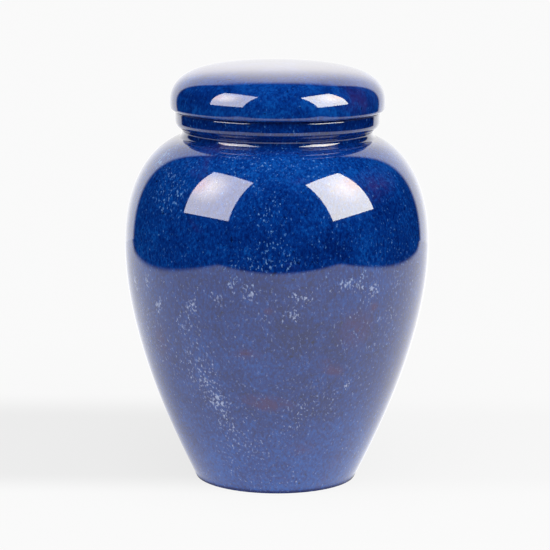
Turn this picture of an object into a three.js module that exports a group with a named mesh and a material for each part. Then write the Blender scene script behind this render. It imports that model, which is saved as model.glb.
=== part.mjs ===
// Funeral urn of polished blue stone: a shouldered vessel with a rolled collar, and a domed lid that lifts off.
// Millimetres, +Z up, origin at the centre of the underside. Both pieces are turned work, so each is one
// closed profile of points (distance from the axis, height) swept round the Z axis.

import * as THREE from 'three';

// Outside of the vessel. A reach is how far a curve heads on in the direction in which it leaves its end.
const footRadius = 53.6;
const footLean = 26.3; // degrees that the side leans outwards at the foot
const footReach = 38.5;
const footEdgeRadius = 1;
const bellyRadius = 101.6;
const bellyHeight = 159.4;
const bellyReachDown = 59.7;
const bellyReachUp = 57.2;
const shoulderReach = 4.4;
const shoulderFall = 16; // degrees that the shoulder falls away beside the neck
const neckRadius = 63.5; // at the bottom of the groove under the collar
const neckRise = 74.8; // from the belly's widest line up to the bottom of the groove
const neckFlareRadius = 3.5; // where the shoulder turns up into the groove

// Collar round the mouth
const grooveRadius = 3.5; // where the groove turns out into the roll
const collarRollRadius = 6;
const collarOverhang = 4.55; // past the neck
const collarFace = 6.4; // upright face between the roll and the rim
const rimEdgeRadius = 1.9;

// Hollow of the vessel
const wallThickness = 12;
const floorThickness = 16;
const floorFilletRadius = 12;
const neckWall = 10.5; // stone between the groove and the mouth
const throatRadius = 4; // rounding where the mouth opens into the hollow
const mouthEdgeRadius = 1.5;

// Lid, which rests on the rim, with a plug that keeps it centred in the mouth
const seatGap = 0.3;
const lidOverhang = 3.5; // past the collar
const lidLipRadius = 2.5; // rounding beside the seat
const lidEdgeRadius = 34; // slight curve of the side above it
const lidEdgeTurn = 5.5; // degrees that this curve turns
const lidCrownRise = 26.3;
const lidSideReach = 22.1;
const lidCrownReach = 44.4;
const lidWall = 12;
const plugClearance = 1; // to the mouth, all round
const plugDepth = 12;
const plugWall = 9;
const plugEdgeRadius = 2;
const lidFilletRadius = 6; // in the lid's hollow, between its side and its ceiling

// Fineness of the faceted surface
const sidesRound = 52;
const curveSteps = 8;
const arcStep = 30; // degrees at most between two points of a rounding

const polishedBlueStone = new THREE.MeshStandardMaterial({ color: 0x0c3c8c, roughness: 0.08, metalness: 0 });

const radians = THREE.MathUtils.degToRad;

const point = (radius, height) => new THREE.Vector2(radius, height);

// Point at a distance from another one. Directions are in degrees, 0 being outwards and 90 being up.
function pointTowards(from, direction, distance) {
  return point(
    from.x + distance * Math.cos(radians(direction)),
    from.y + distance * Math.sin(radians(direction))
  );
}

// Points of a rounding about a centre, from one direction to another
function arc(centre, radius, from, to) {
  const steps = Math.max(2, Math.ceil(Math.abs(to - from) / arcStep));
  const points = [];
  for (let i = 0; i <= steps; i++) {
    points.push(pointTowards(centre, from + (to - from) * i / steps, radius));
  }
  return points;
}

// Cubic curve that leaves each end in a direction, for its reach
function curveBetween(start, startDirection, startReach, end, endDirection, endReach) {
  return new THREE.CubicBezierCurve(
    start,
    pointTowards(start, startDirection, startReach),
    pointTowards(end, endDirection, endReach),
    end
  );
}

// Direction that a curve faces, with the stone on its left as it runs
function facing(curve, t) {
  const along = curve.getTangent(t);
  return THREE.MathUtils.radToDeg(Math.atan2(-along.x, along.y));
}

// Point that lies a depth inside the stone, straight in from a curve
function pointInside(curve, t, depth) {
  return pointTowards(curve.getPoint(t), facing(curve, t), -depth);
}

// Place on a curve, found by halving, from which the points a depth inside it pass a test
function placeWhere(curve, depth, passes) {
  let before = 0;
  let after = 1;
  for (let i = 0; i < 40; i++) {
    const middle = (before + after) / 2;
    if (passes(pointInside(curve, middle, depth))) after = middle;
    else before = middle;
  }
  return after;
}

// Points that lie a depth inside a curve, from one place on it to its end
function lineInside(curve, from, depth) {
  const steps = Math.round(curveSteps);
  const points = [];
  for (let i = 0; i <= steps; i++) {
    points.push(pointInside(curve, from + (1 - from) * i / steps, depth));
  }
  return points;
}

// Level face from the axis, a rounding up from it, and the line inside a curve that the rounding runs into
function levelThenUp(curve, depth, level, radius) {
  const t = placeWhere(curve, depth + radius, (inside) => inside.y > level + radius);
  const rounding = arc(pointInside(curve, t, depth + radius), radius, -90, facing(curve, t));
  return [point(0, level), ...rounding.slice(0, -1), ...lineInside(curve, t, depth)];
}

// Closed surface swept round the axis from a profile that has the stone on its left as it runs
function turnedPiece(name, profile) {
  const geometry = new THREE.LatheGeometry(profile, sidesRound);
  geometry.rotateX(Math.PI / 2);
  const piece = new THREE.Mesh(geometry, polishedBlueStone);
  piece.name = name;
  return piece;
}

// Heights, radii and turns that follow from the sizes above
const grooveHeight = bellyHeight + neckRise;
const flareTurn = 90 - shoulderFall;
const rollAndGroove = collarRollRadius + grooveRadius;
const rollTurn = THREE.MathUtils.radToDeg(Math.acos(1 - collarOverhang / rollAndGroove));
const rollHeight = grooveHeight + rollAndGroove * Math.sin(radians(rollTurn));
const rimHeight = rollHeight + collarFace;
const collarRadius = neckRadius + collarOverhang;
const mouthRadius = neckRadius - neckWall;

// Side of the vessel, from the foot to the belly and from the belly to the neck
const bellyPoint = point(bellyRadius, bellyHeight);
const flareCentre = point(neckRadius + neckFlareRadius, grooveHeight);
const flareStart = pointTowards(flareCentre, 180 + flareTurn, neckFlareRadius);
const lowerSide = curveBetween(
  point(footRadius, 0), 90 - footLean, footReach,
  bellyPoint, -90, bellyReachDown
);
const shoulder = curveBetween(
  bellyPoint, 90, bellyReachUp,
  flareStart, -shoulderFall, shoulderReach
);

// Neck and collar, from the end of the shoulder to the rim
function neckOutline() {
  const grooveCentre = point(neckRadius + grooveRadius, grooveHeight);
  const rollCentre = point(collarRadius - collarRollRadius, rollHeight);
  const edgeCentre = point(collarRadius - rimEdgeRadius, rimHeight - rimEdgeRadius);
  return [
    ...arc(flareCentre, neckFlareRadius, 180 + flareTurn, 180),
    ...arc(grooveCentre, grooveRadius, 180, 180 - rollTurn).slice(1),
    ...arc(rollCentre, collarRollRadius, -rollTurn, 0).slice(1),
    ...arc(edgeCentre, rimEdgeRadius, 0, 90)
  ];
}

// Mouth, from the rim down to the underside of the shoulder
function mouthOutline(shoulderInside) {
  const fall = Math.tan(radians(shoulderFall));
  const cornerHeight = shoulderInside.y + (shoulderInside.x - mouthRadius) * fall;
  const throatHeight = cornerHeight + throatRadius * (Math.hypot(1, fall) - fall);
  return [
    ...arc(point(mouthRadius + mouthEdgeRadius, rimHeight - mouthEdgeRadius), mouthEdgeRadius, 90, 180),
    ...arc(point(mouthRadius + throatRadius, throatHeight), throatRadius, 180, 180 + flareTurn)
  ];
}

function vessel() {
  const outside = [
    ...levelThenUp(lowerSide, 0, 0, footEdgeRadius),
    ...lineInside(shoulder, 0, 0).slice(1, -1),
    ...neckOutline()
  ];
  const hollow = [
    ...levelThenUp(lowerSide, wallThickness, floorThickness, floorFilletRadius),
    ...lineInside(shoulder, 0, wallThickness).slice(1)
  ];
  const mouth = mouthOutline(hollow.at(-1));
  return turnedPiece('vessel', [...outside, ...mouth, ...hollow.reverse()]);
}

function lid() {
  const lidRadius = collarRadius + lidOverhang;
  const seatHeight = rimHeight + seatGap;
  const plugRadius = mouthRadius - plugClearance;
  const plugBottom = seatHeight - plugDepth;
  const hollowRadius = plugRadius - plugWall;

  const lipToEdge = lidEdgeRadius - lidLipRadius;
  const edgeRise = lidLipRadius + lipToEdge * Math.sin(radians(lidEdgeTurn));
  const edgeCentre = point(lidRadius - lidEdgeRadius, seatHeight + edgeRise);
  const lipCentre = pointTowards(edgeCentre, -lidEdgeTurn, lipToEdge);

  const widest = point(lidRadius, edgeCentre.y);
  const crown = curveBetween(
    widest, 90, lidSideReach,
    point(0, widest.y + lidCrownRise), 0, lidCrownReach
  );
  const filletDepth = lidWall + lidFilletRadius;
  const t = placeWhere(crown, filletDepth, (inside) => inside.x < hollowRadius - lidFilletRadius);
  const filletCentre = point(hollowRadius - lidFilletRadius, pointInside(crown, t, filletDepth).y);

  const underneath = [
    ...lineInside(crown, t, lidWall).reverse(),
    ...arc(filletCentre, lidFilletRadius, facing(crown, t), 0).slice(1),
    ...arc(point(hollowRadius + plugEdgeRadius, plugBottom + plugEdgeRadius), plugEdgeRadius, 180, 270),
    ...arc(point(plugRadius - plugEdgeRadius, plugBottom + plugEdgeRadius), plugEdgeRadius, -90, 0),
    point(plugRadius, seatHeight)
  ];
  const outside = [
    ...arc(lipCentre, lidLipRadius, -90, -lidEdgeTurn),
    ...arc(edgeCentre, lidEdgeRadius, -lidEdgeTurn, 0).slice(1, -1),
    ...lineInside(crown, 0, 0)
  ];
  return turnedPiece('lid', [...underneath, ...outside]);
}

const urn = new THREE.Group();
urn.add(vessel(), lid());

export default urn;
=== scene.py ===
import math

import bpy
import numpy as np
from mathutils import Matrix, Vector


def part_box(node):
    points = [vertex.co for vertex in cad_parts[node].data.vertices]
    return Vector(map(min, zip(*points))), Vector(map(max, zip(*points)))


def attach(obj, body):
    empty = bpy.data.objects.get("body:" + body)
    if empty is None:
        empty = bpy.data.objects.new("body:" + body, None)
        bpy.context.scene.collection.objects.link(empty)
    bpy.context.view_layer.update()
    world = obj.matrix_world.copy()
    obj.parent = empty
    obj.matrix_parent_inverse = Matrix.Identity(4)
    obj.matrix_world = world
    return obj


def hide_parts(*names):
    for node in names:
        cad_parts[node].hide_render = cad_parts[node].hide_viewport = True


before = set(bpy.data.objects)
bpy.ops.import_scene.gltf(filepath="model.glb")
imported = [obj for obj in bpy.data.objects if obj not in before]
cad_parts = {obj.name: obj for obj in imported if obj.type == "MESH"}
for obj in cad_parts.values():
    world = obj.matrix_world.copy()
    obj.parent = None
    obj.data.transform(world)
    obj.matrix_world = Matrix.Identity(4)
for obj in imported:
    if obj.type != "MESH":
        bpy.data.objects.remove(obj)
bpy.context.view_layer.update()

mm = 0.001
print("frame loaded:", sorted(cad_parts))

# Camera: it looks down a little, straight at the urn's axis, and is turned a hair about its own line of sight
cameraView = {
    "lens": 174.6,
    "distance": 1.792,
    "pitch": 10.39,
    "turn": 0.35,
    "aimHeight": 0.1372,
    "side": -0.0011,
    "farthest": 60,
}


def makeCamera(view):
    data = bpy.data.cameras.new("camera")
    data.lens = view["lens"]
    data.clip_end = view["farthest"]
    camera = bpy.data.objects.new("camera", data)
    bpy.context.collection.objects.link(camera)
    pitch = math.radians(view["pitch"])
    level, rise = view["distance"] * math.cos(pitch), view["distance"] * math.sin(pitch)
    aim = Matrix.Rotation(math.pi / 2 - pitch, 4, "X") @ Matrix.Rotation(math.radians(view["turn"]), 4, "Z")
    camera.matrix_world = Matrix.Translation((view["side"], -level, view["aimHeight"] + rise)) @ aim
    bpy.context.scene.camera = camera


makeCamera(cameraView)
bpy.context.scene.view_settings.view_transform = "Standard"
print("camera placed")

# Studio, in metres. What the polished stone mirrors is a white table that ends in front, a white wall behind it,
# a dark room and two square soft lights. A panel's glow is what the stone mirrors and its light is what falls on
# matt surfaces. The camera sees neither, only an endless pale floor and a pale background. Most pairs of numbers
# are where something starts and where it is complete, along X, Y or Z or in distance.
studio = {
    "roomGlow": 0.004,
    "roomLight": 0.02,
    "table": {
        "corners": ((-0.762, -0.818, 0), (0.803, -0.818, 0), (0.803, 0.914, 0), (-0.762, 0.914, 0)),
        "light": (1.18, 1.18, 1.18),
        "glowCorners": ((-1.15, -1.0, 0), (1.15, -1.0, 0), (1.15, 0.914, 0), (-1.15, 0.914, 0)),
        "leftGlow": (1.42, 1.42, 1.44),
        "rightGlow": (1.66, 1.64, 1.63),
        "leftToRight": (-0.2, 0.25),
        "contactShadow": (0.0525, 0.0575),  # painted contact shadow where the foot stands on it
        "shadow": (0.05, 0.42),
        "shadowFront": (-0.10, 0.02),
        "shadowSides": (-0.05, 0.05),
        "shadowDepths": (0.34, 0.10),  # left and right
        "sides": (-0.735, 0.835),  # left and right
        "front": -0.82,
        "soft": 0.07,
        "widens": (0.6, 0.95),
        "widening": (1.0, 1.18),
    },
    "wall": {
        "corners": ((0.77, 0.914, 0), (-0.77, 0.914, 0), (-0.77, 0.914, 1.30), (0.77, 0.914, 1.30)),
        "light": (0.1, 0.1, 0.1),
        "glowCorners": ((1.2, 0.914, 0), (-1.2, 0.914, 0), (-1.2, 0.914, 2.6), (1.2, 0.914, 2.6)),
        "leftGlow": (1.62, 1.61, 1.60),
        "rightGlow": (1.86, 1.84, 1.81),
        "leftToRight": (-0.3, 0.3),
        "lowGlow": (1.14, 1.14, 1.13),  # the middle's, low down and high up
        "highGlow": (2.25, 2.18, 2.08),
        "lowToHigh": (0.20, 0.68),
        "middle": (0.50, 0.05),
        "half": 0.93,
        "soft": 0.09,
        "top": (2.5, 1.45),
    },
    "leftLight": {
        "corners": (
            (-0.384, -0.084, 0.710), (-0.175, -0.369, 0.726), (-0.394, -0.549, 0.370), (-0.636, -0.194, 0.354)
        ),
        "light": (1.6, 1.6, 1.6),
        "glow": (7.7, 7.5, 7.7),
        "brightGlow": (14.6, 13.4, 11.8),
        "brightSpot": (-0.421, -0.218, 0.571),
        "tintGlow": (12.5, 9.3, 8.2),
        "tintSpot": (-0.480, -0.135, 0.565),
    },
    "rightLight": {
        "corners": (
            (0.209, -0.382, 0.708), (0.375, -0.099, 0.718), (0.639, -0.142, 0.379), (0.444, -0.508, 0.365)
        ),
        "light": (2.6, 2.6, 2.6),
        "glow": (12.6, 12.2, 10.5),
        "brightGlow": (17.6, 16.0, 13.0),
        "brightSpot": (0.425, -0.222, 0.575),
        "tintGlow": (16.2, 12.6, 9.2),
        "tintSpot": (0.465, -0.125, 0.600),
    },
    "brightReach": (0.20, 0.0),  # round the spots of both lights
    "tintReach": (0.13, 0.0),
    "ceiling": {
        "corners": ((-0.45, -1.15, 1.25), (-0.45, 0.05, 1.35), (0.45, 0.05, 1.35), (0.45, -1.15, 1.25)),
        "light": (4.1, 4.1, 4.1),
    },
    "floor": {
        "radius": 30.0,
        "sides": 96,
        "tone": 0.953,
        "matt": 0.53,
        "shadowReach": (0.2, 0.5),
        "shadowShare": 0.14,  # how much of the floor's tone the lights and the urn's shadow make
        "shadowBandFront": (-0.06, 0.0),  # a painted soft shadow lies behind the urn, darker on its left
        "shadowBandBack": (0.155, 0.245),
        "shadowBandSides": (-0.06, 0.06),
        "shadowBandDepth": (0.125, 0.030),
    },
}
black = (0.0, 0.0, 0.0)


def newMaterial(name):
    material = bpy.data.materials.new(name)
    material.use_nodes = True
    material.node_tree.nodes.clear()
    return material, material.node_tree


def separate(tree, vector):
    node = tree.nodes.new("ShaderNodeSeparateXYZ")
    tree.links.new(vector, node.inputs[0])
    return node.outputs


def spread(tree, value, low, high, outLow=0.0, outHigh=1.0):
    # Smooth step of a value from low to high
    node = tree.nodes.new("ShaderNodeMapRange")
    node.interpolation_type = "SMOOTHSTEP"
    for socket, number in zip(("From Min", "From Max", "To Min", "To Max"), (low, high, outLow, outHigh)):
        node.inputs[socket].default_value = number
    tree.links.new(value, node.inputs["Value"])
    return node.outputs["Result"]


def combine(tree, operation, *values):
    # Sum, product, difference or the like of two or more values, any of which may be a plain number
    result = values[0]
    for value in values[1:]:
        node = tree.nodes.new("ShaderNodeMath")
        node.operation = operation
        for socket, given in zip(node.inputs, (result, value)):
            if isinstance(given, (int, float)):
                socket.default_value = given
            else:
                tree.links.new(given, socket)
        result = node.outputs["Value"]
    return result


def blend(tree, factor, first, second):
    # First colour where the factor is 0 and second where it is 1
    node = tree.nodes.new("ShaderNodeMix")
    node.data_type = "RGBA"
    tree.links.new(factor, node.inputs["Factor"])
    for socket, colour in zip((node.inputs[6], node.inputs[7]), (first, second)):
        if isinstance(colour, tuple):
            socket.default_value = (*colour, 1)
        else:
            tree.links.new(colour, socket)
    return node.outputs[2]


def noise(tree, vector, scale, detail, roughness, distortion=0.0):
    node = tree.nodes.new("ShaderNodeTexNoise")
    settings = {"Scale": scale, "Detail": detail, "Roughness": roughness, "Distortion": distortion}
    for socket, number in settings.items():
        node.inputs[socket].default_value = number
    tree.links.new(vector, node.inputs["Vector"])
    return node.outputs["Fac"]


def distance(tree, vector, centre=(0.0, 0.0, 0.0)):
    node = tree.nodes.new("ShaderNodeVectorMath")
    node.operation = "DISTANCE"
    node.inputs[1].default_value = centre
    tree.links.new(vector, node.inputs[0])
    return node.outputs["Value"]


def tableGlow(tree, place, look):
    # Brighter on the right, with the urn's painted shadow beside and behind it and a painted contact shadow under
    # its foot, with soft edges
    along = separate(tree, place)
    reach = distance(tree, place)
    colour = blend(tree, spread(tree, along["X"], *look["leftToRight"]), look["leftGlow"], look["rightGlow"])
    shadow = combine(
        tree, "MULTIPLY",
        spread(tree, reach, *look["shadow"], 1.0, 0.0),
        spread(tree, along["Y"], *look["shadowFront"]),
        spread(tree, along["X"], *look["shadowSides"], *look["shadowDepths"]),
    )
    colour = blend(tree, shadow, colour, black)
    across = combine(tree, "DIVIDE", along["X"], spread(tree, along["Y"], *look["widens"], *look["widening"]))
    left, right = look["sides"]
    front, soft = look["front"], look["soft"]
    shown = combine(
        tree, "MULTIPLY",
        spread(tree, reach, *look["contactShadow"]),
        spread(tree, across, left - soft, left + soft),
        spread(tree, across, right + soft, right - soft),
        spread(tree, along["Y"], front - soft, front + soft),
    )
    return blend(tree, shown, (studio["roomGlow"],) * 3, colour)


def wallGlow(tree, place, look):
    # Brighter on the right; its middle is dim low down and brightest high up; soft edges
    along = separate(tree, place)
    aside = combine(tree, "ABSOLUTE", along["X"], 0.0)
    sides = blend(tree, spread(tree, along["X"], *look["leftToRight"]), look["leftGlow"], look["rightGlow"])
    middle = blend(tree, spread(tree, along["Z"], *look["lowToHigh"]), look["lowGlow"], look["highGlow"])
    colour = blend(tree, spread(tree, aside, *look["middle"]), sides, middle)
    shown = combine(
        tree, "MULTIPLY",
        spread(tree, aside, look["half"] + look["soft"], look["half"] - look["soft"]),
        spread(tree, along["Z"], *look["top"]),
    )
    return blend(tree, shown, (studio["roomGlow"],) * 3, colour)


def softLightGlow(tree, place, look):
    # Brightest round one spot, with a warm spot beside it
    bright = spread(tree, distance(tree, place, look["brightSpot"]), *studio["brightReach"])
    warm = spread(tree, distance(tree, place, look["tintSpot"]), *studio["tintReach"])
    return blend(tree, warm, blend(tree, bright, look["glow"], look["brightGlow"]), look["tintGlow"])


def glowMaterial(name, look, pattern=None):
    # One even light, or the pattern of what is mirrored
    material, tree = newMaterial(name)
    glow = tree.nodes.new("ShaderNodeEmission")
    if pattern:
        place = tree.nodes.new("ShaderNodeTexCoord").outputs["Object"]
        tree.links.new(pattern(tree, place, look), glow.inputs["Color"])
    else:
        glow.inputs["Color"].default_value = (*look["light"], 1)
    output = tree.nodes.new("ShaderNodeOutputMaterial")
    tree.links.new(glow.outputs["Emission"], output.inputs["Surface"])
    return material


def panel(name, corners, material, seenBy):
    # Flat face that only one kind of ray meets
    mesh = bpy.data.meshes.new(name)
    mesh.from_pydata([tuple(corner) for corner in corners], [], [tuple(range(len(corners)))])
    piece = bpy.data.objects.new(name, mesh)
    bpy.context.collection.objects.link(piece)
    mesh.materials.append(material)
    for ray in ("camera", "diffuse", "glossy", "transmission", "shadow"):
        setattr(piece, "visible_" + ray, ray == seenBy)


def floorMaterial(look):
    # Even pale tone with a painted soft shadow in it behind the urn, and a share of matt white that takes the
    # urn's real shadow
    material, tree = newMaterial("paleFloor")
    position = tree.nodes.new("ShaderNodeTexCoord").outputs["Object"]
    along = separate(tree, position)
    shadowBand = combine(
        tree, "MULTIPLY",
        spread(tree, along["Y"], *look["shadowBandFront"]),
        spread(tree, along["Y"], *look["shadowBandBack"], 1.0, 0.0),
        spread(tree, along["X"], *look["shadowBandSides"], *look["shadowBandDepth"]),
    )
    even = tree.nodes.new("ShaderNodeEmission")
    tree.links.new(blend(tree, shadowBand, (look["tone"],) * 3, black), even.inputs["Color"])
    lit = tree.nodes.new("ShaderNodeBsdfDiffuse")
    lit.inputs["Color"].default_value = (*(look["matt"],) * 3, 1)
    mix = tree.nodes.new("ShaderNodeMixShader")
    near = spread(tree, distance(tree, position), *look["shadowReach"], look["shadowShare"], 0.0)
    tree.links.new(near, mix.inputs["Fac"])
    tree.links.new(even.outputs["Emission"], mix.inputs[1])
    tree.links.new(lit.outputs["BSDF"], mix.inputs[2])
    output = tree.nodes.new("ShaderNodeOutputMaterial")
    tree.links.new(mix.outputs["Shader"], output.inputs["Surface"])
    return material


def makeWorld():
    # Pale where the camera looks past the floor, dark in the stone's mirror, and a little light on matt surfaces
    world = bpy.data.worlds.new("room")
    world.use_nodes = True
    bpy.context.scene.world = world
    nodes, links = world.node_tree.nodes, world.node_tree.links
    nodes.clear()
    path = nodes.new("ShaderNodeLightPath")
    tones = []
    for tone in (studio["roomLight"], studio["roomGlow"], studio["floor"]["tone"]):
        background = nodes.new("ShaderNodeBackground")
        background.inputs["Color"].default_value = (tone, tone, tone, 1)
        tones.append(background.outputs["Background"])
    shader = tones[0]
    for ray, tone in (("Is Glossy Ray", tones[1]), ("Is Camera Ray", tones[2])):
        mix = nodes.new("ShaderNodeMixShader")
        links.new(path.outputs[ray], mix.inputs["Fac"])
        links.new(shader, mix.inputs[1])
        links.new(tone, mix.inputs[2])
        shader = mix.outputs["Shader"]
    output = nodes.new("ShaderNodeOutputWorld")
    links.new(shader, output.inputs["Surface"])


def makeStudio():
    floor = studio["floor"]
    turn = np.linspace(0, 2 * math.pi, floor["sides"] + 1)[:-1]
    rim = np.stack([np.cos(turn), np.sin(turn), np.zeros_like(turn)], -1) * floor["radius"]
    panel("floor", rim.tolist(), floorMaterial(floor), "camera")
    patterns = {
        "table": tableGlow,
        "wall": wallGlow,
        "leftLight": softLightGlow,
        "rightLight": softLightGlow,
        "ceiling": None,
    }
    for name, pattern in patterns.items():
        look = studio[name]
        panel(name + "Light", look["corners"], glowMaterial(name + "Light", look), "diffuse")
        if pattern:
            material = glowMaterial(name + "Glow", look, pattern)
            panel(name + "Glow", look.get("glowCorners", look["corners"]), material, "glossy")
    makeWorld()


makeStudio()
print("studio built")

# Vessel, in millimetres and degrees. Its belly and rim are where the frame has them. A step is the angle between
# two points of a rounding, and points are how many a curve has.
vesselShape = {
    "bellyRadius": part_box("vessel")[1][0] / mm,
    "rimHeight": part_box("vessel")[1][2] / mm,
    "footRadius": 53.6,
    "footLean": 26.3,
    "footReach": 38.5,
    "footEdge": 1,
    "bellyHeight": 159.4,
    "bellyReachDown": 59.7,
    "bellyReachUp": 57.2,
    "shoulderReach": 4.4,
    "shoulderFall": 16,
    "neckRadius": 63.5,
    "neckRise": 74.8,
    "neckFlare": 3.5,
    "groove": 3.5,
    "roll": 6,
    "overhang": 4.55,
    "rimEdge": 1.9,
    "wall": 12,
    "floor": 16,
    "floorFillet": 12,
    "neckWall": 10.5,
    "throat": 4,
    "mouthEdge": 1.5,
    "sidePoints": 70,
    "shoulderPoints": 60,
    "roundingStep": 4,
    "rimStep": 9,
    "mouthStep": 15,
    "throatStep": 12,
}


def towards(start, direction, distance):
    # Start plus distance along a direction in degrees, 0 outwards from the axis and 90 up
    angle = np.radians(np.asarray(direction, float))
    return np.asarray(start, float) + distance * np.stack([np.cos(angle), np.sin(angle)], -1)


def arcPoints(centre, radius, first, last, step):
    # Circle about a centre between two directions
    count = max(3, math.ceil(abs(last - first) / step) + 1)
    return towards(centre, np.linspace(first, last, count), radius)


def curvePoints(start, startDirection, startReach, end, endDirection, endReach, count):
    # Cubic curve, (1-t)^3 a + 3(1-t)^2 t b + 3(1-t) t^2 c + t^3 d, with the direction that it faces at each point
    a, d = np.asarray(start, float), np.asarray(end, float)
    b, c = towards(a, startDirection, startReach), towards(d, endDirection, endReach)
    t = np.linspace(0, 1, count)[:, None]
    points = (1 - t) ** 3 * a + 3 * (1 - t) ** 2 * t * b + 3 * (1 - t) * t ** 2 * c + t ** 3 * d
    along = (1 - t) ** 2 * (b - a) + 2 * (1 - t) * t * (c - b) + t ** 2 * (d - c)
    return points, np.degrees(np.arctan2(-along[:, 0], along[:, 1]))


def inside(points, facing, depth):
    # Each point moved straight in from the surface by a depth
    return towards(points, facing, -depth)


def levelThenUp(points, facing, depth, level, radius, step):
    # Level line from the axis, an arc tangent to it and to the line a depth inside the curve, and that line
    centres = inside(points, facing, depth + radius)
    k = int(np.argmax(centres[:, 1] > level + radius))
    across = np.interp(level + radius, centres[k - 1:k + 1, 1], centres[k - 1:k + 1, 0])
    return np.concatenate([
        [[0, level]],
        arcPoints((across, level + radius), radius, -90, facing[k], step),
        inside(points[k + 1:], facing[k + 1:], depth),
    ])


def vesselProfile(s):
    # Underside, side, shoulder, groove, roll and rim, then down the mouth and round the hollow to the axis
    groove = s["bellyHeight"] + s["neckRise"]
    flareTurn = 90 - s["shoulderFall"]
    both, step = s["roll"] + s["groove"], s["roundingStep"]
    turn = math.degrees(math.acos(1 - s["overhang"] / both))
    roll = groove + both * math.sin(math.radians(turn))
    rim, collar, mouth = s["rimHeight"], s["neckRadius"] + s["overhang"], s["neckRadius"] - s["neckWall"]
    belly = (s["bellyRadius"], s["bellyHeight"])
    flareCentre = (s["neckRadius"] + s["neckFlare"], groove)
    flareStart = towards(flareCentre, 180 + flareTurn, s["neckFlare"])
    side, sideFacing = curvePoints(
        (s["footRadius"], 0), 90 - s["footLean"], s["footReach"],
        belly, -90, s["bellyReachDown"], s["sidePoints"],
    )
    shoulder, shoulderFacing = curvePoints(
        belly, 90, s["bellyReachUp"],
        flareStart, -s["shoulderFall"], s["shoulderReach"], s["shoulderPoints"],
    )
    neck = np.concatenate([
        arcPoints(flareCentre, s["neckFlare"], 180 + flareTurn, 180, step),
        arcPoints((s["neckRadius"] + s["groove"], groove), s["groove"], 180, 180 - turn, step)[1:],
        arcPoints((collar - s["roll"], roll), s["roll"], -turn, 0, step)[1:],
        arcPoints((collar - s["rimEdge"], rim - s["rimEdge"]), s["rimEdge"], 0, 90, s["rimStep"]),
    ])
    hollow = np.concatenate([
        levelThenUp(side, sideFacing, s["wall"], s["floor"], s["floorFillet"], step)[::2],
        inside(shoulder, shoulderFacing, s["wall"])[1::2],
    ])
    fall = math.tan(math.radians(s["shoulderFall"]))
    throat = hollow[-1, 1] + (hollow[-1, 0] - mouth) * fall + s["throat"] * (math.hypot(1, fall) - fall)
    mouthLine = np.concatenate([
        arcPoints((mouth + s["mouthEdge"], rim - s["mouthEdge"]), s["mouthEdge"], 90, 180, s["mouthStep"]),
        arcPoints((mouth + s["throat"], throat), s["throat"], 180, 180 + flareTurn, s["throatStep"]),
    ])
    outside = levelThenUp(side, sideFacing, 0, 0, s["footEdge"], step)
    return np.concatenate([outside, shoulder[1:-1], neck, mouthLine, hollow[::-1]])


# Lid, in millimetres and degrees. Its widest line and its top are where the frame has them.
lidShape = {
    "radius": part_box("lid")[1][0] / mm,
    "top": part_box("lid")[1][2] / mm,
    "seatGap": 0.3,
    "lip": 2.5,
    "edge": 34,
    "edgeTurn": 5.5,
    "sideReach": 22.1,
    "crownReach": 44.4,
    "wall": 12,
    "plugClearance": 1,
    "plugDepth": 12,
    "plugWall": 9,
    "plugEdge": 2,
    "fillet": 6,
    "crownPoints": 110,
    "filletStep": 12,
    "plugStep": 15,
    "lipStep": 6,
    "edgeStep": 1,
}


def lidProfile(s, vessel):
    # Ceiling, plug and seat, then round the lip and up the edge and the crown to the axis
    seat = vessel["rimHeight"] + s["seatGap"]
    plug = vessel["neckRadius"] - vessel["neckWall"] - s["plugClearance"]
    bottom, hollow = seat - s["plugDepth"], plug - s["plugWall"]
    lipToEdge = s["edge"] - s["lip"]
    edgeHeight = seat + s["lip"] + lipToEdge * math.sin(math.radians(s["edgeTurn"]))
    edgeCentre = (s["radius"] - s["edge"], edgeHeight)
    lipCentre = towards(edgeCentre, -s["edgeTurn"], lipToEdge)
    crown, facing = curvePoints(
        (s["radius"], edgeHeight), 90, s["sideReach"],
        (0, s["top"]), 0, s["crownReach"], s["crownPoints"],
    )
    centres = inside(crown, facing, s["wall"] + s["fillet"])
    k = int(np.argmax(centres[:, 0] < hollow - s["fillet"]))
    return np.concatenate([
        inside(crown, facing, s["wall"])[:k:-2],
        arcPoints((hollow - s["fillet"], centres[k, 1]), s["fillet"], facing[k], 0, s["filletStep"]),
        arcPoints((hollow + s["plugEdge"], bottom + s["plugEdge"]), s["plugEdge"], 180, 270, s["plugStep"]),
        arcPoints((plug - s["plugEdge"], bottom + s["plugEdge"]), s["plugEdge"], -90, 0, s["plugStep"]),
        [[plug, seat]],
        arcPoints(lipCentre, s["lip"], -90, -s["edgeTurn"], s["lipStep"]),
        arcPoints(edgeCentre, s["edge"], -s["edgeTurn"], 0, s["edgeStep"])[1:-1],
        crown,
    ])


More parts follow.
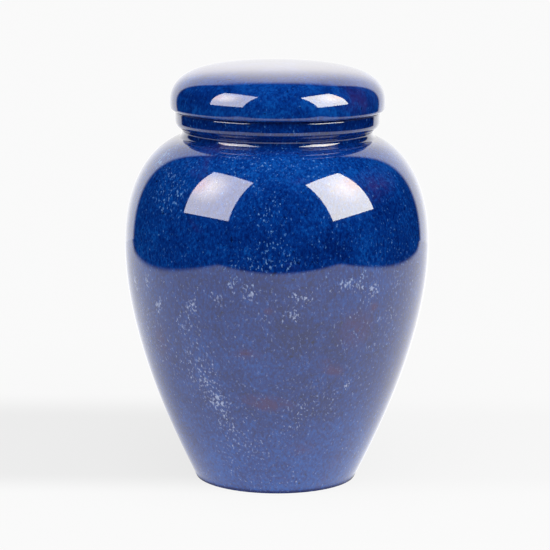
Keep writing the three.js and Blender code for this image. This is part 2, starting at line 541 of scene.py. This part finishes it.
def turnedPiece(name, profile, material, sides=320):
    # Each profile point (r, z) goes round as (r cos a, r sin a, z); the two ends on the axis are one point each
    turn = np.arange(sides) * 2 * np.pi / sides
    ring = profile[1:-1] * mm
    grid = np.stack([
        ring[:, :1] * np.cos(turn),
        ring[:, :1] * np.sin(turn),
        np.broadcast_to(ring[:, 1:], (len(ring), sides)),
    ], -1).reshape(-1, 3)
    ends = np.array([[0, 0, profile[0, 1]], [0, 0, profile[-1, 1]]]) * mm
    row, column = np.meshgrid(np.arange(len(ring) - 1) * sides, np.arange(sides), indexing="ij")
    after = (column + 1) % sides
    quads = np.stack([row + column, row + after, row + sides + after, row + sides + column], -1).reshape(-1, 4)
    around, last = np.arange(sides), (len(ring) - 1) * sides
    following = (around + 1) % sides
    firstCap = np.stack([np.full(sides, len(grid)), following, around], -1)
    lastCap = np.stack([np.full(sides, len(grid) + 1), last + around, last + following], -1)
    mesh = bpy.data.meshes.new(name)
    faces = [*quads.tolist(), *firstCap.tolist(), *lastCap.tolist()]
    mesh.from_pydata(np.concatenate([grid, ends]), [], faces)
    mesh.shade_smooth()
    mesh.materials.append(material)
    piece = bpy.data.objects.new(name, mesh)
    bpy.context.collection.objects.link(piece)
    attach(piece, "root")
    return piece


# Polished blue stone: clouds of navy and bright blue, fine grain drawn out upwards, pale flecks that crowd
# together in places, small dark specks and faint reddish patches.
stoneLook = {
    "navy": (0.0006, 0.013, 0.120),
    "blue": (0.0012, 0.030, 0.220),
    "bright": (0.0040, 0.082, 0.39),
    "depths": (0.60, 0.75, 0.92),  # where the stone is navy, blue and bright
    "fleckAbove": (0.022, 0.125, 0.43),
    # Where the vessel mirrors the white table, the flecks and their pale cores are paler and greyer: painted
    # reflection
    "fleckWithTableReflection": (0.105, 0.180, 0.47),
    "paleAbove": (0.17, 0.37, 0.70),
    "paleWithTableReflection": (0.38, 0.45, 0.68),
    "speck": (0.0005, 0.003, 0.03),
    "warm": (0.052, 0.019, 0.118),
    "shares": {"Warmth": 0.75, "Specks": 0.75, "Flecks": 0.55, "Glints": 0.90},
    "roughness": 0.03,
    "refraction": 1.6,
    "seam": (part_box("vessel")[1][2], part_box("vessel")[1][2] + lidShape["seatGap"] * mm),
    # Noises: scale, detail, roughness and distortion
    "broad": (16.0, 3.0, 0.6, 0.5),
    "patch": (70.0, 4.0, 0.65, 0.8),
    "grain": (620.0, 3.0, 0.72),
    "ragged": (120.0, 3.0, 0.7, 0.6),
    "drift": (21.0, 4.0, 0.62, 0.7),
    "stain": (30.0, 3.0, 0.6, 0.6),
    "fine": (700.0, 2.0, 0.6),
    "dark": (330.0, 2.0, 0.6),
    # How noises are drawn out: scale and turn
    "grainStretch": ((1.0, 1.0, 0.6), (12.0, 8.0, 0.0)),
    "driftStretch": ((1.0, 1.0, 0.55), (0.0, 35.0, 20.0)),
    "stainStretch": ((0.8, 1.0, 1.3), (0.0, 20.0, 60.0)),
    "fineStretch": ((1.0, 1.0, 0.62), (15.0, -10.0, 0.0)),
    # How far noises swing the depth, the last two on the vessel and on the lid
    "broadSwing": 0.30,
    "patchSwing": (0.30, 0.55),
    "grainSwing": (0.78, 0.60),
    # Smooth steps: from, to and, where they aren't 0 and 1, what comes out at either end
    # Lighter towards the foot: painted bounce light from the table
    "sideDepthAndFootLight": (0.07, 0.0, 0.75, 0.82),  # by height, and so are the next five
    # Darker on the vessel's collar under the lid: painted shade of the lid's overhang
    "collarPaintedShade": (0.222, 0.234, 0.0, -0.10),
    # Lighter from the upper shoulder up: painted light from above
    "upperPaintedLight": (0.19, 0.22, 0.0, 0.03),
    # Darker on the lid's top: painted shade
    "crownPaintedShade": (0.271, 0.279, 0.0, -0.14),
    # Darker at the foot's bottom edge: painted contact shadow
    "footContactShadow": (0.0028, 0.0010, 0.0, -0.30),
    "tableMirrorHeights": (0.168, 0.140),
    "raggedness": (0.30, 0.70, 0.2, 1.6),
    "drifting": (0.45, 0.75, -0.15, 0.40),
    "staining": (0.62, 0.80, 0.0, 0.4),
    "flecked": (0.57, 0.72),
    "glinting": (0.63, 0.83),
    "specked": (0.36, 0.25),
    "lidCrowd": -0.25,
    "mostCrowd": 1.15,
    "mostWarmth": 1.0,
    "crowdToFlecks": 0.10,
    "crowdToGlints": 0.17,
    # Spots on the vessel's outer face: angle round the urn (0 in front, positive to the right), height, half
    # width, half height, lean and strength. Pale flecks gather in these.
    "gatherings": (
        (-31, 78, 16, 36, -25, 0.75),
        (-27, 68, 7, 10, -25, 0.6),
        (-20, 48, 12, 26, -35, 0.5),
        (-17, 148, 7, 6, 0, 1.8),
        (-10, 145, 7, 8, 0, 1.4),
        (-24, 140, 6, 6, 0, 0.9),
        (-21, 137, 5, 6, 0, 1.2),
        (-33, 133, 8, 7, 0, 1.3),
        (-51, 129, 7, 9, 0, 1.3),
        (-57, 143, 8, 6, 0, 1.2),
        (-67, 138, 6, 8, 0, 1.0),
        (-38, 119, 12, 10, 0, 0.8),
        (7, 142, 6, 5, 0, 1.0),
        (7, 129, 6, 5, 0, 1.2),
        (11, 141, 7, 5, 0, 1.2),
        (20, 145, 6, 5, 0, 1.3),
        (26, 149, 9, 5, 0, 1.5),
        (32, 145, 8, 6, 0, 1.4),
        (38, 143, 6, 7, 0, 1.4),
        (33, 155, 5, 7, 0, 1.1),
        (32, 78, 5, 8, 25, 0.9),
        (-66, 221, 12, 16, 0, 1.4),
        (-48, 205, 24, 26, 0, 0.6),
        (-12, 163, 28, 7, 0, 0.45),
        (4, 164, 12, 7, 0, 0.55),
        (4, 178, 10, 8, 0, 0.4),
        (-8, 223, 44, 12, 0, 0.5),
        (20, 218, 26, 9, 0, 0.35),
    ),
    # The stone is darker in these
    "shades": (
        (9, 110, 34, 32, 0, 0.13),
        (16, 66, 30, 30, 0, 0.12),
        (20, 172, 24, 14, 0, 0.12),
        (0, 150, 40, 12, 0, 0.04),
        (-45, 168, 26, 14, 0, 0.05),
        (45, 195, 24, 14, 0, 0.05),
        (-50, 262, 22, 12, 0, 0.12),
        (50, 262, 22, 12, 0, 0.08),
    ),
    # The stone is reddish in these
    "patches": (
        (-4, 68, 22, 7, 8, 1.5),
        (23, 92, 13, 6, 30, 1.4),
        (32, 117, 18, 18, 20, 0.7),
        (-12, 102, 12, 5, 0, 0.9),
        (39, 131, 5, 4, 0, 1.4),
        (-3, 132, 4, 3, 0, 1.0),
        (-53, 102, 12, 20, 0, 0.6),
        (44, 208, 27, 12, -10, 0.5),
        (50, 262, 26, 12, 0, 0.45),
        (14, 34, 12, 8, 0, 0.5),
    ),
}


def newGroup(name, inputs, outputs):
    # Node group with one socket for each name and kind
    group = bpy.data.node_groups.new(name, "ShaderNodeTree")
    for direction, sockets in (("INPUT", inputs), ("OUTPUT", outputs)):
        for socket, kind in sockets.items():
            group.interface.new_socket(socket, in_out=direction, socket_type="NodeSocket" + kind)
    return group, group.nodes.new("NodeGroupInput").outputs, group.nodes.new("NodeGroupOutput").inputs


def swing(tree, value, size):
    # How far a noise lies from its middle, times a size
    return combine(tree, "MULTIPLY", combine(tree, "SUBTRACT", value, 0.5), size)


def drawnOut(tree, vector, scale, turn):
    # Pattern stretched along one line and turned
    node = tree.nodes.new("ShaderNodeMapping")
    node.inputs["Scale"].default_value = scale
    node.inputs["Rotation"].default_value = [math.radians(angle) for angle in turn]
    tree.links.new(vector, node.inputs["Vector"])
    return node.outputs["Vector"]


def gathered(tree, vector, spots, face):
    # Sum of soft ellipsoids, 1 - distance within each, on the vessel's outer face
    shares = []
    for angle, height, across, along, lean, strength in spots:
        radius = np.interp(height, face[:, 1], face[:, 0])
        turn = math.radians(angle)
        centre = (radius * math.sin(turn) * mm, -radius * math.cos(turn) * mm, height * mm)
        node = tree.nodes.new("ShaderNodeMapping")
        node.vector_type = "TEXTURE"
        node.inputs["Location"].default_value = centre
        node.inputs["Rotation"].default_value = (0, math.radians(lean), turn)
        node.inputs["Scale"].default_value = (across * mm, max(across, along) * mm, along * mm)
        tree.links.new(vector, node.inputs["Vector"])
        ball = tree.nodes.new("ShaderNodeTexGradient")
        ball.gradient_type = "SPHERICAL"
        tree.links.new(node.outputs["Vector"], ball.inputs["Vector"])
        shares.append(combine(tree, "MULTIPLY", ball.outputs["Fac"], strength))
    return combine(tree, "ADD", *shares)


def stoneClouds(look, face):
    # Depth runs from navy to bright blue, Crowd says where pale flecks gather, Warmth where the stone is reddish,
    # and Low is the part of the vessel that mirrors the table, where the flecks are painted paler as a reflection
    outputs = {"Depth": "Float", "Crowd": "Float", "Warmth": "Float", "Low": "Float"}
    tree, given, result = newGroup("stoneClouds", {"Vector": "Vector"}, outputs)
    vector = given["Vector"]
    height = separate(tree, vector)["Z"]
    onLid = spread(tree, height, *look["seam"])
    onVessel = combine(tree, "SUBTRACT", 1.0, onLid)
    broad = noise(tree, vector, *look["broad"])
    patch = noise(tree, vector, *look["patch"])
    grain = noise(tree, drawnOut(tree, vector, *look["grainStretch"]), *look["grain"])
    # Besides the stone's clouds, Depth holds painted light towards the foot and from the upper shoulder up, and
    # painted shade on the collar, on the lid's top and at the foot's bottom edge
    depth = combine(
        tree, "ADD",
        spread(tree, height, *look["sideDepthAndFootLight"]),
        combine(tree, "MULTIPLY", spread(tree, height, *look["collarPaintedShade"]), onVessel),
        spread(tree, height, *look["upperPaintedLight"]),
        spread(tree, height, *look["crownPaintedShade"]),
        spread(tree, height, *look["footContactShadow"]),
        swing(tree, broad, look["broadSwing"]),
        swing(tree, patch, spread(tree, onLid, 0.0, 1.0, *look["patchSwing"])),
        swing(tree, grain, spread(tree, onLid, 0.0, 1.0, *look["grainSwing"])),
        combine(tree, "MULTIPLY", gathered(tree, vector, look["shades"], face), -1.0),
    )
    tree.links.new(depth, result["Depth"])
    ragged = spread(tree, noise(tree, vector, *look["ragged"]), *look["raggedness"])
    drift = noise(tree, drawnOut(tree, vector, *look["driftStretch"]), *look["drift"])
    crowd = combine(
        tree, "ADD",
        spread(tree, drift, *look["drifting"]),
        combine(tree, "MULTIPLY", gathered(tree, vector, look["gatherings"], face), ragged),
        combine(tree, "MULTIPLY", onLid, look["lidCrowd"]),
    )
    tree.links.new(combine(tree, "MINIMUM", crowd, look["mostCrowd"]), result["Crowd"])
    tree.links.new(spread(tree, height, *look["tableMirrorHeights"]), result["Low"])
    stain = noise(tree, drawnOut(tree, vector, *look["stainStretch"]), *look["stain"])
    warmth = combine(
        tree, "ADD",
        spread(tree, stain, *look["staining"]),
        combine(tree, "MULTIPLY", gathered(tree, vector, look["patches"], face), ragged),
    )
    tree.links.new(combine(tree, "MINIMUM", warmth, look["mostWarmth"]), result["Warmth"])
    return tree


def stoneFlecks(look):
    # Flecks are many and soft, Glints are their pale cores, Specks are dark; Crowd brings more flecks and glints
    outputs = {"Flecks": "Float", "Glints": "Float", "Specks": "Float"}
    tree, given, result = newGroup("stoneFlecks", {"Vector": "Vector", "Crowd": "Float"}, outputs)
    fine = noise(tree, drawnOut(tree, given["Vector"], *look["fineStretch"]), *look["fine"])
    for name, pull, step in (("Flecks", "crowdToFlecks", "flecked"), ("Glints", "crowdToGlints", "glinting")):
        crowded = combine(tree, "ADD", fine, combine(tree, "MULTIPLY", given["Crowd"], look[pull]))
        tree.links.new(spread(tree, crowded, *look[step]), result[name])
    dark = noise(tree, given["Vector"], *look["dark"])
    tree.links.new(spread(tree, dark, *look["specked"]), result["Specks"])
    return tree


def placed(tree, group, vector):
    node = tree.nodes.new("ShaderNodeGroup")
    node.node_tree = group
    tree.links.new(vector, node.inputs["Vector"])
    return node


def polishedStone(look, face):
    material, tree = newMaterial("polishedStone")
    place = tree.nodes.new("ShaderNodeTexCoord").outputs["Object"]
    clouds = placed(tree, stoneClouds(look, face), place)
    flecks = placed(tree, stoneFlecks(look), place)
    tree.links.new(clouds.outputs["Crowd"], flecks.inputs["Crowd"])
    ground = tree.nodes.new("ShaderNodeValToRGB")
    navyDepth, blueDepth, brightDepth = look["depths"]
    ramp = ground.color_ramp.elements
    ramp[0].position, ramp[0].color = navyDepth, (*look["navy"], 1)
    ramp[1].position, ramp[1].color = brightDepth, (*look["bright"], 1)
    ramp.new(blueDepth).color = (*look["blue"], 1)
    tree.links.new(clouds.outputs["Depth"], ground.inputs["Fac"])
    colour = ground.outputs["Color"]
    low = clouds.outputs["Low"]
    # Flecks and glints are painted paler where the vessel mirrors the table, a painted reflection
    for group, mask, tone in (
        (clouds, "Warmth", look["warm"]),
        (flecks, "Specks", look["speck"]),
        (flecks, "Flecks", blend(tree, low, look["fleckAbove"], look["fleckWithTableReflection"])),
        (flecks, "Glints", blend(tree, low, look["paleAbove"], look["paleWithTableReflection"])),
    ):
        share = combine(tree, "MULTIPLY", group.outputs[mask], look["shares"][mask])
        colour = blend(tree, share, colour, tone)
    shader = tree.nodes.new("ShaderNodeBsdfPrincipled")
    tree.links.new(colour, shader.inputs["Base Color"])
    shader.inputs["Roughness"].default_value = look["roughness"]
    shader.inputs["IOR"].default_value = look["refraction"]
    output = tree.nodes.new("ShaderNodeOutputMaterial")
    tree.links.new(shader.outputs["BSDF"], output.inputs["Surface"])
    return material


vesselOutline = vesselProfile(vesselShape)
outerFace = vesselOutline[1:np.argmax(vesselOutline[:, 1])]
stone = polishedStone(stoneLook, outerFace)
print("stone made")
vessel = turnedPiece("vesselStone", vesselOutline, stone)
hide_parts("vessel")
lid = turnedPiece("lidStone", lidProfile(lidShape, vesselShape), stone)
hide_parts("lid")
for piece in (vessel, lid):
    print(piece.name, "faces:", len(piece.data.polygons))
